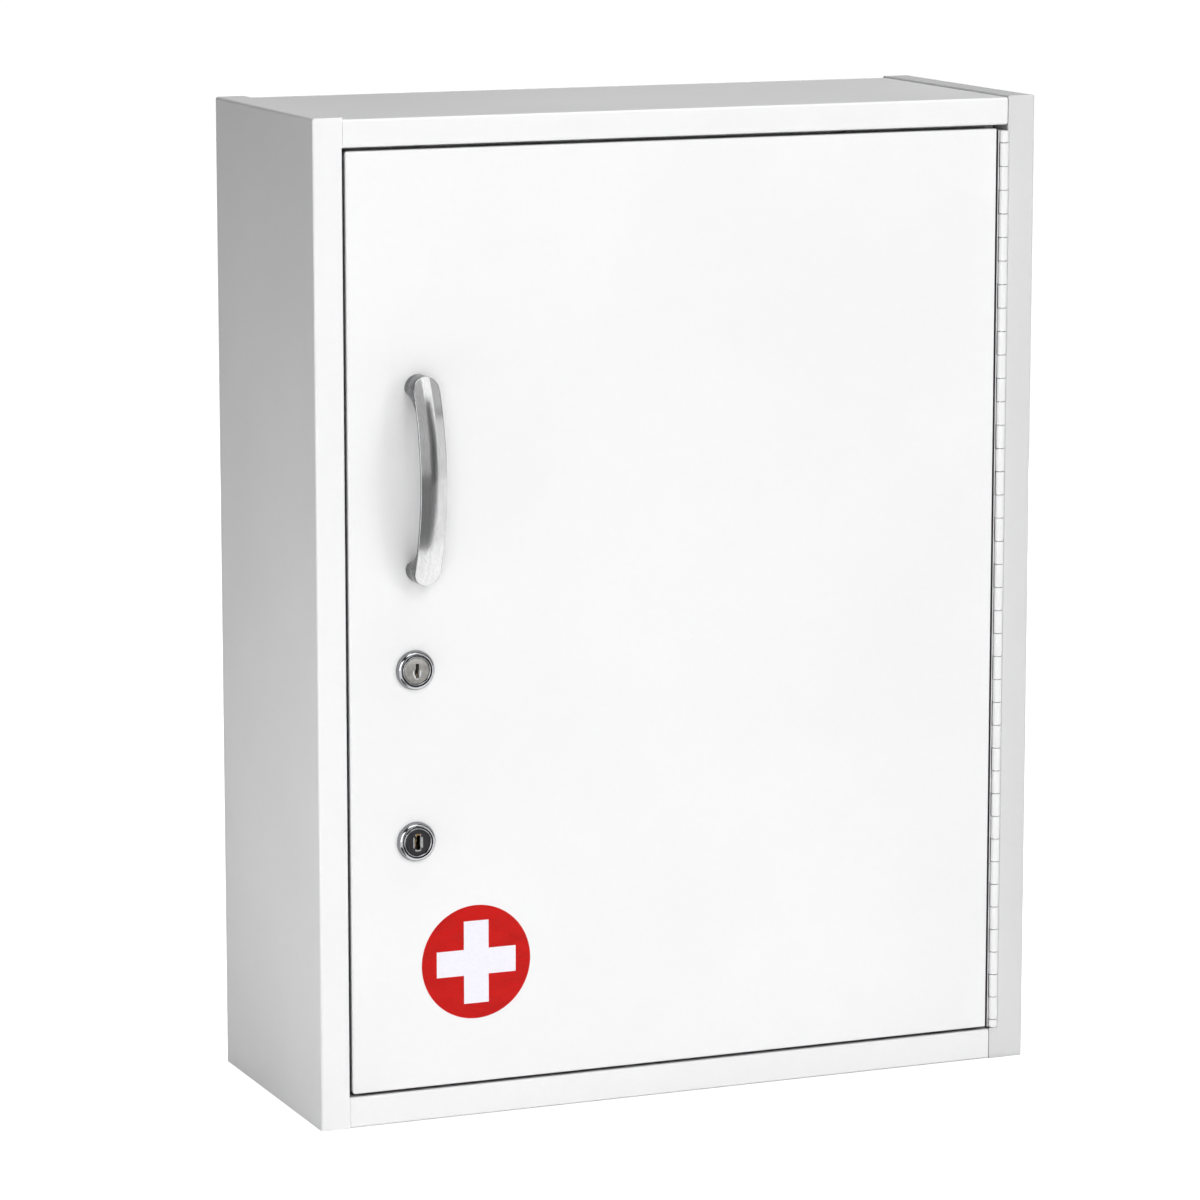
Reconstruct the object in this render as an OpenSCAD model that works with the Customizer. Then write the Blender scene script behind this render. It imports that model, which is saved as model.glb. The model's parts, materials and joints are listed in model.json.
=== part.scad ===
// Lockable wall cabinet for medicines, folded from steel sheet.
// Millimetres. X runs to the right when facing the front, Y runs to the back,
// Z runs up. The origin is the centre of the underside.

/* [Cabinet] */
// Overall width across the two side panels
cab_w = 410; // [400:1:430]
// Overall height of the side panels
cab_h = 530; // [510:1:560]
// Depth from the front frame to the back panel
cab_d = 155; // [150:1:180]
// Width of each side stile of the front frame
stile_w = 16; // [15:0.5:18]
// Face height of the top rail
top_rail = 14.5; // [14:0.5:18]
// Face height of the bottom rail
bottom_rail = 16.6; // [14:0.1:18]
// Outer radius of the folded edges
fold_r = 1.5; // [1.3:0.1:2]
// Side to side spacing of the wall screw holes
wall_hole_dx = 300; // [240:10:320]
// Up and down spacing of the wall screw holes
wall_hole_dz = 420; // [380:10:440]
// Radius of the wall screw holes
wall_hole_r = 3.5; // [2.5:0.5:5]

/* [Door] */
// Gap between the left stile and the door
door_gap_side = 1.5; // [1.2:0.1:2]
// Gap between the top rail and the door
door_gap_top = 1.9; // [1.5:0.1:3]
// Gap between the bottom rail and the door
door_gap_bottom = 1.5; // [1.5:0.1:3]
// Thickness of the door pan, front to back
door_t = 15; // [14:0.5:16]
// Diameter of the round label
label_d = 61.2; // [40:0.1:70]
// Height of the label's centre above the underside
label_z = 83.4; // [70:0.1:100]

/* [Hinge] */
// Height of one hinge knuckle
knuckle_h = 12.7; // [10:0.1:15]
// Outer radius of the hinge barrel
barrel_r = 2.4; // [2.2:0.1:2.4]
// Radius of the hinge pin
pin_r = 1.2; // [1:0.1:1.2]

/* [Handle] */
// Height of the handle's centre above the underside
handle_z = 342.6; // [330:0.1:360]
// Distance between the two handle screws
handle_cc = 96; // [96:0.5:97]
// How far the middle of the handle stands out of the door
handle_out = 24.4; // [23:0.1:26]

/* [Locks] */
// Height of the upper lock above the underside
upper_lock_z = 242.2; // [230:0.1:250]
// Height of the lower lock above the underside
lower_lock_z = 151.1; // [145:0.1:160]
// Reach of the cam from the lock's axis
cam_reach = 34; // [32:0.5:35]

/* [Shelves] */
// Height of the lower shelf's top face
lower_shelf_z = 182; // [180:1:190]
// Height of the upper shelf's top face
upper_shelf_z = 352; // [330:1:370]

/* [Hidden] */

t = 1;                          // steel sheet
eps = 0.01;
xl = -cab_w / 2;                // outer face of the left side
xr = cab_w / 2;                 // outer face of the right side
yf = -cab_d / 2;                // front plane of the frame
yb = cab_d / 2;                 // rear face of the back panel
H = cab_h;
sx = cab_w / 2 - stile_w;       // inner edge of the stiles
rail_zt = H - t - top_rail;     // underside of the top rail
rail_zb = bottom_rail;          // top of the bottom rail
lip_y = yf + 17.5;              // front face of the stop lips
lip_h = 8.5;                    // height of the stop lips on the rails
lip_w = 11;                     // width of the stop lip on the left stile
tab_x = sx - 4.4;               // inner end of the tab under the hinge
joint = 0.12;                   // open joint between the rails and the left stile
joint_r = 0.35;                 // wider joint on the hinge side
fold_n = 5;                     // flats in a folded corner

// door
dl = -sx + door_gap_side;       // left edge of the door
dr = sx - 6.7;                  // right edge of the door skin
dt = rail_zt - door_gap_top;    // top edge of the door
db = rail_zb + door_gap_bottom; // bottom edge of the door
yi = yf + t;                    // inner face of the door skin

// hinge
hx = sx - barrel_r;             // hinge axis
hy = yf - 0.3;
leaf_t = barrel_r - 1.3;        // the door leaf bears on the back of the skin
hz1 = dt - 1.2;                 // top of the hinge
hz0 = db;                       // bottom of the hinge
hk1 = hz1 - knuckle_h / 2;      // top of the first frame knuckle
hn = ceil((hk1 - hz0) / (2 * knuckle_h));
k_gap = 0.2;                    // end gap at each side of a knuckle
pin_clear = 0.05;               // running clearance in the door knuckles
strip_x = hx - barrel_r - 0.55; // edge of the leaf beside the knuckles

// handle
grip_x = -149.2 - (cab_w - 410) / 2;
bow_r = 120;                    // radius of the bow's outer face
bow_d = handle_out - bow_r;     // centre of the bow behind the door face
grip_w = 14.4;                  // width of the grip
grip_l = 108.8;                 // overall length of the handle

// locks
lock_x = -151.6 - (cab_w - 410) / 2;
plug_r = 6.7;
body_r = 9.3;
body_l = 18.7;                  // length behind the door face

// ------------------------------------------------------------ helpers
function unit(v) = v / norm(v);
function lnorm(v) = [-v[1], v[0]];
function turn(a, b) = a[0] * b[1] - a[1] * b[0];
function rev(l) = [for (i = [len(l) - 1 : -1 : 0]) l[i]];

// one rounded corner of a folded strip; side 0 is the path's own side
function corner(P, i, th, ro, side) =
    let (u = unit(P[i] - P[i - 1]), w = unit(P[i + 1] - P[i]),
         s = turn(u, w) > 0 ? 1 : -1, a = acos(u * w),
         rp = s > 0 ? ro : ro - th,
         c = P[i] - u * rp * tan(a / 2) + s * rp * lnorm(u),
         r = side == 0 ? rp : rp - s * th, n = -s * lnorm(u))
    [for (k = [0 : fold_n]) let (b = s * a * k / fold_n)
        c + r * [n[0] * cos(b) - n[1] * sin(b), n[0] * sin(b) + n[1] * cos(b)]];

// outline of a sheet strip folded along path P, with the sheet on its left
function strip_pts(P, th, ro) =
    let (n = len(P), ua = unit(P[1] - P[0]), ub = unit(P[n - 1] - P[n - 2]))
    concat([P[0]], [for (i = [1 : 1 : n - 2]) each corner(P, i, th, ro, 0)],
        [P[n - 1], P[n - 1] + th * lnorm(ub)],
        [for (i = [n - 2 : -1 : 1]) each rev(corner(P, i, th, ro, 1))],
        [P[0] + th * lnorm(ua)]);

module strip(P, th = t, ro = fold_r) polygon(strip_pts(P, th, ro));

function arc(c, r, a0, a1, n = fold_n) =
    [for (i = [0 : n]) let (a = a0 + (a1 - a0) * i / n) c + r * [cos(a), sin(a)]];

// rectangle with its own radius at each corner: low-low, high-low, high-high, low-high
module rrect(a, b, r) polygon(concat(
    r[0] > 0 ? arc([a[0] + r[0], a[1] + r[0]], r[0], 180, 270) : [[a[0], a[1]]],
    r[1] > 0 ? arc([b[0] - r[1], a[1] + r[1]], r[1], 270, 360) : [[b[0], a[1]]],
    r[2] > 0 ? arc([b[0] - r[2], b[1] - r[2]], r[2], 0, 90) : [[b[0], b[1]]],
    r[3] > 0 ? arc([a[0] + r[3], b[1] - r[3]], r[3], 90, 180) : [[a[0], b[1]]]));

module box(a, b) translate(a) cube(b - a);
module along_x(x0, x1) translate([x0, 0, 0]) rotate([90, 0, 90]) linear_extrude(x1 - x0) children();
module along_y(y0, y1) translate([0, y1, 0]) rotate([90, 0, 0]) linear_extrude(y1 - y0) children();
module along_z(z0, z1) translate([0, 0, z0]) linear_extrude(z1 - z0) children();

// local frame of a fitting on the door: X right, Y up, Z out of the door face
module on_door(x, z) translate([x, yf, z]) rotate([90, 0, 0]) children();

// ------------------------------------------------------------ carcass
// One side panel in left-hand form: wall, front stile with its return, and a
// flange over the top panel. The return is notched away beside the rails.
module side_panel(ret_z0, tab, lip) {
    edge0 = tab > 0 ? -tab : -sx;
    ret_y = lip ? lip_y - 0.5 : lip_y + 1.5;
    intersection() {
        union() {
            along_z(0, ret_z0) strip([[xl, yb], [xl, yf], [edge0, yf]]);
            if (lip) {
                along_z(ret_z0, rail_zb + lip_h + 1)
                    strip([[xl, yb], [xl, yf], [-sx, yf], [-sx, ret_y]]);
                along_z(rail_zb + lip_h + 1, rail_zt - lip_h + 0.2)
                    strip([[xl, yb], [xl, yf], [-sx, yf], [-sx, lip_y], [-sx + lip_w, lip_y]]);
                along_z(rail_zt - lip_h + 0.2, rail_zt)
                    strip([[xl, yb], [xl, yf], [-sx, yf], [-sx, ret_y]]);
            } else {
                along_z(ret_z0, rail_zt)
                    strip([[xl, yb], [xl, yf], [-sx, yf], [-sx, ret_y]]);
            }
            along_z(rail_zt, H) strip([[xl, yb], [xl, yf], [-sx, yf]]);
            along_y(yf, yb) strip([[-sx, H], [xl, H], [xl, H - 6]]);
        }
        along_z(-1, H + 1) rrect([xl, yf], [0, yb + 1], [fold_r, 0, 0, 0]);
        along_y(yf - 1, yb + 1) rrect([xl, -1], [0, H], [0, 0, 0, fold_r]);
    }
}

module left_side_panel() color([0.93, 0.93, 0.94]) side_panel(rail_zb, 0, true);

module right_side_panel() color([0.93, 0.93, 0.94])
    mirror([1, 0, 0]) side_panel(rail_zb + 0.6, tab_x, false);

module top_panel() color([0.92, 0.92, 0.93]) {
    along_x(-sx + joint, sx - joint_r)
        strip([[0, H - t], [yf, H - t], [yf, rail_zt], [lip_y, rail_zt], [lip_y, rail_zt - lip_h]]);
    box([xl + fold_r, yf + fold_r, H - 2 * t], [xr - fold_r, yb - 3, H - t]);
    along_x(xl + 2.1, xr - 2.1)
        strip([[yb - t, H - 14], [yb - t, H - t], [0, H - t]]);
}

module bottom_panel() color([0.92, 0.92, 0.93]) {
    along_x(-sx + joint, tab_x - joint_r)
        strip([[lip_y, rail_zb + lip_h], [lip_y, rail_zb], [yf, rail_zb], [yf, 0], [0, 0]]);
    box([xl + 3, yf + fold_r, 0], [xr - 3, yb - 3, t]);
    for (s = [0, 1]) mirror([s, 0, 0]) along_y(yf + fold_r, yb - 3)
        strip([[xl + t, 13], [xl + t, 0], [xl + 30, 0]]);
    along_x(xl + 2.1, xr - 2.1)
        strip([[0, 0], [yb - t, 0], [yb - t, 13]]);
}

module back_panel() color([0.91, 0.91, 0.92]) difference() {
    union() {
        along_z(14, H - 15)
            strip([[xr - t, yb - 13.5], [xr - t, yb], [xl + t, yb], [xl + t, yb - 13.5]]);
        box([xl + t, yb - t, 0], [xr - t, yb, 14]);
        box([xl + t, yb - t, H - 15], [xr - t, yb, H - t]);
    }
    for (x = [-1, 1], z = [-1, 1])
        translate([x * wall_hole_dx / 2, yb + 1, H / 2 + z * wall_hole_dz / 2])
            rotate([90, 0, 0]) cylinder(h = t + 2, r = wall_hole_r, $fn = 48);
}

// ------------------------------------------------------------ shelves
std_y = [yf + 41.5, yb - 25.5]; // centres of the slotted shelf standards
slot_p = 12.7;                  // slot pitch
std_z0 = 30;
std_n = floor((H - 60) / slot_p);
function slot_z(i) = std_z0 + slot_p * (i + 0.5);
// the slot next below a shelf
function clip_slot(z) = slot_z(floor((z - t - 4 - std_z0) / slot_p - 0.5));

module shelf_standards() color([0.86, 0.87, 0.88])
    for (s = [0, 1], y = std_y) mirror([s, 0, 0]) difference() {
        along_z(std_z0, std_z0 + std_n * slot_p)
            strip([[xl + t, y + 6], [xl + t + 3, y + 6], [xl + t + 3, y - 6], [xl + t, y - 6]], -1, 0.4);
        for (i = [0 : std_n - 1])
            box([xl + t + 1.5, y - 3.5, slot_z(i) - 1.6], [xl + t + 3.5, y + 3.5, slot_z(i) + 1.6]);
    }

// clip that hooks into a slot and carries the shelf
module clip(y, z) {
    zs = clip_slot(z);
    box([xl + t + 3, y - 4.5, zs - 5], [xl + t + 4.2, y + 4.5, z - t]);
    box([xl + t + 3, y - 4.5, z - t - 1.5], [xl + t + 15, y + 4.5, z - t]);
    box([xl + t + 1.2, y - 3, zs - 1.2], [xl + t + 3 + eps, y + 3, zs + 1.2]);
}

module shelf_clips() color([0.75, 0.76, 0.78])
    for (s = [0, 1], y = std_y, z = [lower_shelf_z, upper_shelf_z])
        mirror([s, 0, 0]) clip(y, z);

module shelf(z) along_x(xl + 5.5, xr - 5.5)
    strip([[yb - 4.5, z - 12], [yb - 4.5, z], [yf + 27.5, z], [yf + 27.5, z - 12]]);

module upper_shelf() color([0.90, 0.90, 0.91]) shelf(upper_shelf_z);
module lower_shelf() color([0.90, 0.90, 0.91]) shelf(lower_shelf_z);

// small rubber stops on the lips that the door closes against
module bumper(x, z) translate([x, lip_y, z]) rotate([90, 0, 0]) {
    cylinder(h = 1.6, r = 3.2, $fn = 32);
    translate([0, 0, 1.6]) cylinder(h = 0.8, r1 = 3.2, r2 = 2.2, $fn = 32);
}

module door_bumpers() color([0.25, 0.25, 0.26]) {
    for (z = [60, H - 60]) bumper(-sx + 6.2, z);
    for (x = [100]) {
        bumper(x, rail_zt - 5);
        bumper(x, rail_zb + 5);
    }
}

// ------------------------------------------------------------ hinge
// frame knuckle i runs from fk1(i) down to fk0(i); the door's lie between them
function fk1(i) = hk1 - 2 * knuckle_h * i;
function fk0(i) = max(hz0, fk1(i) - knuckle_h);
function dk0(i) = max(hz0, fk1(i) - 2 * knuckle_h);

module tube(z0, z1, ri) if (z1 - z0 > 1) translate([hx, hy, z0]) difference() {
    cylinder(h = z1 - z0, r = barrel_r, $fn = 48);
    translate([0, 0, -1]) cylinder(h = z1 - z0 + 2, r = ri, $fn = 48);
}

module leaf_tab(a, b) difference() {
    box(a, b);
    translate([hx, hy, a[2] - 1]) cylinder(h = b[2] - a[2] + 2, r = barrel_r - 0.4, $fn = 48);
}

// leaf on the return of the right stile
module hinge_frame_leaf() color([0.93, 0.93, 0.94]) {
    box([sx - leaf_t, hy + barrel_r + 0.5, hz0], [sx, lip_y - 0.5, hz1]);
    for (i = [0 : hn - 1]) if (fk1(i) - k_gap - fk0(i) > 1.2) {
        z1 = fk1(i) - k_gap;
        z0 = fk0(i) + (fk0(i) > hz0 ? k_gap : 0);
        tube(z0, z1, pin_r + 0.01);
        leaf_tab([sx - leaf_t, hy, z0], [sx, hy + barrel_r + 0.6, z1]);
    }
}

// leaf behind the door skin, with a raised edge beside the knuckles
module hinge_door_leaf() color([0.93, 0.93, 0.94]) {
    box([dr - 30, yi, db + fold_r + 0.1], [dr, yi + leaf_t, dt - fold_r - 0.1]);
    box([dr, yi + 0.5, db + fold_r + 0.1], [dr + 0.7, yi + leaf_t, dt - fold_r - 0.1]);
    box([dr + 0.7, yf, hz0], [strip_x, yi + leaf_t, hz1]);
    tube(hk1 + k_gap, hz1, pin_r + pin_clear);
    leaf_tab([strip_x - 0.1, yi, hk1 + k_gap], [hx, yi + leaf_t, hz1]);
    for (i = [0 : hn - 1]) if (fk0(i) - dk0(i) > 1.2) {
        z1 = fk0(i) - k_gap;
        z0 = dk0(i) + (dk0(i) > hz0 ? k_gap : 0);
        tube(z0, z1, pin_r + pin_clear);
        leaf_tab([strip_x - 0.1, yi, z0], [hx, yi + leaf_t, z1]);
    }
}

module hinge_pin() color([0.72, 0.73, 0.75])
    translate([hx, hy, hz0 + 0.3]) cylinder(h = hz1 - hz0 - 0.6, r = pin_r, $fn = 48);

// ------------------------------------------------------------ door
module lock_hole(z) on_door(lock_x, z) translate([0, 0, -t - 1]) linear_extrude(t + 2)
    intersection() {
        circle(r = body_r + 0.1, $fn = 64);
        square([16, 40], center = true);
    }

module door_panel() color([0.96, 0.96, 0.97]) difference() {
    intersection() {
        along_z(db, dt) rrect([dl, yf], [dr, yf + door_t], [fold_r, 0.8, 0, 0]);
        along_x(dl, dr) rrect([yf, db], [yf + door_t, dt], [fold_r, 0, 0, fold_r]);
        along_y(yf, yf + door_t) rrect([dl, db], [dr, dt], [2, 1, 1, 1.2]);
    }
    intersection() {
        along_z(db + t, dt - t) rrect([dl + t, yi], [dr + 9, yf + door_t - t], [fold_r - t, 0, 0, 0]);
        along_x(dl, dr + 9) rrect([yi, db + t], [yf + door_t - t, dt - t], [fold_r - t, 0, 0, fold_r - t]);
    }
    box([dl + 11, yf + door_t - 2 * t, db + 11], [dr + 9, yf + door_t + t, dt - 11]);
    lock_hole(upper_lock_z);
    lock_hole(lower_lock_z);
    for (s = [-1, 1]) on_door(grip_x, handle_z + s * handle_cc / 2)
        translate([0, 0, -t - 1]) cylinder(h = t + 2, r = 2.2, $fn = 32);
}

// hat-section stiffener behind the skin
module door_stiffener() color([0.90, 0.90, 0.91]) {
    xc = 20;
    th = 0.8;
    along_z(db + 12, dt - 12) strip([[xc + 26, yi + th], [xc + 14, yi + th], [xc + 14, yi + 12],
        [xc - 14, yi + 12], [xc - 14, yi + th], [xc - 26, yi + th]], th, 1.2);
}

module cross_label() color([0.80, 0.10, 0.10])
    on_door(-118.1 - (cab_w - 410) / 2, label_z) cylinder(h = 0.2, r = label_d / 2, $fn = 96);

// ------------------------------------------------------------ handle
// surfaces of revolution about the bow's centre line, given as half sections
module about_bow(sec) translate([0, 0, bow_d]) rotate([0, 90, 0]) rotate_extrude($fn = 180)
    polygon(concat([[0, -20], [sec[0][1], -20]],
        [for (i = [0 : len(sec) - 1]) [sec[i][1], -sec[i][0]]],
        [for (i = [len(sec) - 1 : -1 : 0]) [sec[i][1], sec[i][0]]],
        [[sec[0][1], 20], [0, 20]]));

module waisted(sec) rotate([0, 90, 0]) rotate_extrude($fn = 96)
    polygon(concat([[0, -20], [sec[0][1], -20]],
        [for (i = [0 : len(sec) - 1]) [sec[i][1], -sec[i][0]]],
        [for (i = [len(sec) - 1 : -1 : 0]) [sec[i][1], sec[i][0]]],
        [[sec[0][1], 20], [0, 20]]));

module handle() color([0.78, 0.78, 0.79]) on_door(grip_x, handle_z) {
    r = grip_w / 2;
    c = grip_l / 2 - r;
    difference() {
        intersection() {
            linear_extrude(handle_out + 5) union() {
                for (s = [-1, 1]) translate([0, s * c]) circle(r = r, $fn = 64);
                square([2 * r, 2 * c], center = true);
            }
            about_bow([[r, bow_r - 0.7], [2.3, bow_r]]);
        }
        intersection() {
            union() {
                for (s = [-1, 1]) translate([0, s * 22.5, -2.5])
                    waisted([[r, 23.6], [6.4, 22.2], [4.8, 21.2], [2.8, 20.6]]);
                translate([-20, -22.5, -1]) cube([40, 45, handle_out + 1]);
            }
            about_bow([[r, bow_r - 2.0], [6.2, bow_r - 3.8], [4.4, bow_r - 5.4]]);
        }
        for (s = [-1, 1]) translate([0, s * handle_cc / 2, -1])
            cylinder(h = 8, r = 2, $fn = 32);
    }
}

module handle_screws() color([0.70, 0.71, 0.72])
    for (s = [-1, 1]) on_door(grip_x, handle_z + s * handle_cc / 2) {
        translate([0, 0, -t - 0.2]) cylinder(h = 7 + t, r = 1.98, $fn = 32);
        difference() {
            union() {
                translate([0, 0, -t - 1.4]) cylinder(h = 1.4, r = 4, $fn = 48);
                translate([0, 0, -t - 2.6]) cylinder(h = 1.2, r1 = 2.8, r2 = 4, $fn = 48);
            }
            for (a = [0, 90]) rotate([0, 0, a]) translate([-2.2, -0.4, -t - 3]) cube([4.4, 0.8, 1.6]);
        }
    }

// ------------------------------------------------------------ locks
module lock_housing(z) on_door(lock_x, z) difference() {
    rotate_extrude($fn = 96) polygon(concat(
        [[plug_r + pin_clear, -body_l], [body_r, -body_l], [body_r, 0], [10.5, 0]],
        [for (a = [90 : -15 : 0]) [8.35 + 2.15 * sin(a), 0.6 + 3.0 * cos(a)]],
        [[8.25, 3.3], [8.25, 2.5], [7.75, 2.5], [7.75, 3.3], [7.55, 3.5], [7.25, 3.5],
         [7.0 + pin_clear, 3.3], [7.0 + pin_clear, 2], [plug_r + pin_clear, 2]]));
    for (s = [-1, 1]) translate([s * 27.9, 0, -20]) cube([40, 40, 40], center = true);
}

module lock_nut(z) on_door(lock_x, z) translate([0, 0, -t - 4]) difference() {
    cylinder(h = 4, r = 13.6, $fn = 6);
    translate([0, 0, -1]) cylinder(h = 6, r = body_r + 0.03, $fn = 64);
}

wafer_h = [-1.5, -3.7, -5.9, -8.1, -10.3]; // places of the wafers along the plug

module lock_plug(z) on_door(lock_x, z) difference() {
    union() {
        translate([0, 0, -19]) cylinder(h = 21.1, r = plug_r, $fn = 96);
        translate([0, 0, 2.05]) cylinder(h = 0.45, r = 7, $fn = 96);
        translate([0, 0, 2.05]) cylinder(h = 1.15, r = 6.6, $fn = 96);
        translate([0, 0, 3.2]) cylinder(h = 0.15, r1 = 6.6, r2 = 6.45, $fn = 96);
        translate([0, 0, 3.0]) linear_extrude(0.5) intersection() {
            circle(r = 4.7, $fn = 64);
            square([5.4, 12], center = true);
        }
        translate([-4, -4, -21.1]) cube([8, 8, 2.2]);
    }
    translate([-0.75, 0.2, -12]) cube([1.9, 3.6, 17]);
    translate([-1.3, -2.2, -12]) cube([2.05, 3, 17]);
    translate([-0.75, -3.9, -12]) cube([2, 2.2, 17]);
    for (h = wafer_h) translate([-3.6, -10, h - 0.45]) cube([7.2, 20, 0.9]);
    translate([0, 0, -22]) cylinder(h = 7.5, r = 2, $fn = 32);
}

module lock_wafers(z) on_door(lock_x, z)
    for (h = wafer_h) translate([0, 0, h - 0.35]) linear_extrude(0.7) difference() {
        intersection() {
            circle(r = 6.3, $fn = 64);
            square([7, 14], center = true);
        }
        square([2.3, 7.4], center = true);
    }

module lock_cam(z) on_door(lock_x, z) translate([0, 0, -21]) linear_extrude(2) difference() {
    union() {
        circle(r = 8, $fn = 64);
        translate([-6.5, -(cam_reach - 6.5)]) square([13, cam_reach - 6.5]);
        translate([0, -(cam_reach - 6.5)]) circle(r = 6.5, $fn = 64);
    }
    square([8.1, 8.1], center = true);
}

module lock_washer(z) on_door(lock_x, z) translate([0, 0, -21.9]) difference() {
    cylinder(h = 0.8, r = 6, $fn = 64);
    translate([0, 0, -1]) cylinder(h = 3, r = 2.1, $fn = 32);
}

module lock_screw(z) on_door(lock_x, z) difference() {
    union() {
        translate([0, 0, -22]) cylinder(h = 6.6, r = 1.98, $fn = 32);
        translate([0, 0, -24.1]) cylinder(h = 2.2, r = 3.8, $fn = 48);
    }
    for (a = [0, 90]) rotate([0, 0, a]) translate([-2.2, -0.4, -25]) cube([4.4, 0.8, 2.2]);
}

module upper_lock_housing() color([0.80, 0.81, 0.82]) lock_housing(upper_lock_z);
module upper_lock_nut() color([0.70, 0.71, 0.72]) lock_nut(upper_lock_z);
module upper_lock_plug() color([0.66, 0.65, 0.62]) lock_plug(upper_lock_z);
module upper_lock_wafers() color([0.72, 0.60, 0.32]) lock_wafers(upper_lock_z);
module upper_lock_cam() color([0.68, 0.69, 0.70]) lock_cam(upper_lock_z);
module upper_lock_washer() color([0.66, 0.67, 0.68]) lock_washer(upper_lock_z);
module upper_lock_screw() color([0.70, 0.71, 0.72]) lock_screw(upper_lock_z);
module lower_lock_housing() color([0.80, 0.81, 0.82]) lock_housing(lower_lock_z);
module lower_lock_nut() color([0.70, 0.71, 0.72]) lock_nut(lower_lock_z);
module lower_lock_plug() color([0.14, 0.13, 0.14]) lock_plug(lower_lock_z);
module lower_lock_wafers() color([0.72, 0.60, 0.32]) lock_wafers(lower_lock_z);
module lower_lock_cam() color([0.68, 0.69, 0.70]) lock_cam(lower_lock_z);
module lower_lock_washer() color([0.66, 0.67, 0.68]) lock_washer(lower_lock_z);
module lower_lock_screw() color([0.70, 0.71, 0.72]) lock_screw(lower_lock_z);

left_side_panel();
right_side_panel();
top_panel();
bottom_panel();
back_panel();
shelf_standards();
shelf_clips();
upper_shelf();
lower_shelf();
door_bumpers();
hinge_frame_leaf();
hinge_pin();
door_panel();
door_stiffener();
cross_label();
hinge_door_leaf();
handle();
handle_screws();
upper_lock_housing();
upper_lock_nut();
upper_lock_plug();
upper_lock_wafers();
upper_lock_cam();
upper_lock_washer();
upper_lock_screw();
lower_lock_housing();
lower_lock_nut();
lower_lock_plug();
lower_lock_wafers();
lower_lock_cam();
lower_lock_washer();
lower_lock_screw();
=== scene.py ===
"""Looks of the lockable medicine cabinet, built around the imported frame."""
import json
import math

import bmesh
import bpy
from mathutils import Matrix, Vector
from mathutils.geometry import delaunay_2d_cdt


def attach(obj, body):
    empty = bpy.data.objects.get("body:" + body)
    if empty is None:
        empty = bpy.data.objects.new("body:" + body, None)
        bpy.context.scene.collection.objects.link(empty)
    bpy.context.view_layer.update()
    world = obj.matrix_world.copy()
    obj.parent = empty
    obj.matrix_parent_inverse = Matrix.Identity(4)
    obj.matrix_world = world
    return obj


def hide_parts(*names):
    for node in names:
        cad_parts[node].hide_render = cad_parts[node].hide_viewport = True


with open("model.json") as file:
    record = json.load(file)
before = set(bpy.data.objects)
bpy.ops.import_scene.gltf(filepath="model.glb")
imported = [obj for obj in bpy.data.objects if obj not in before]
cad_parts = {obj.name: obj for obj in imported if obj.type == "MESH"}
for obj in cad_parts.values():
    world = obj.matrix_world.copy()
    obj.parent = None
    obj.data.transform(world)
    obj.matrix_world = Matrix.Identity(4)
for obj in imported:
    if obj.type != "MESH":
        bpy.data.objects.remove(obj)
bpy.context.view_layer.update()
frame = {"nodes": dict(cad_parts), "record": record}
NODES = frame["nodes"]
scene = bpy.context.scene
MM = 0.001

# ------------------------------------------------------------------ node helpers


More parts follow.
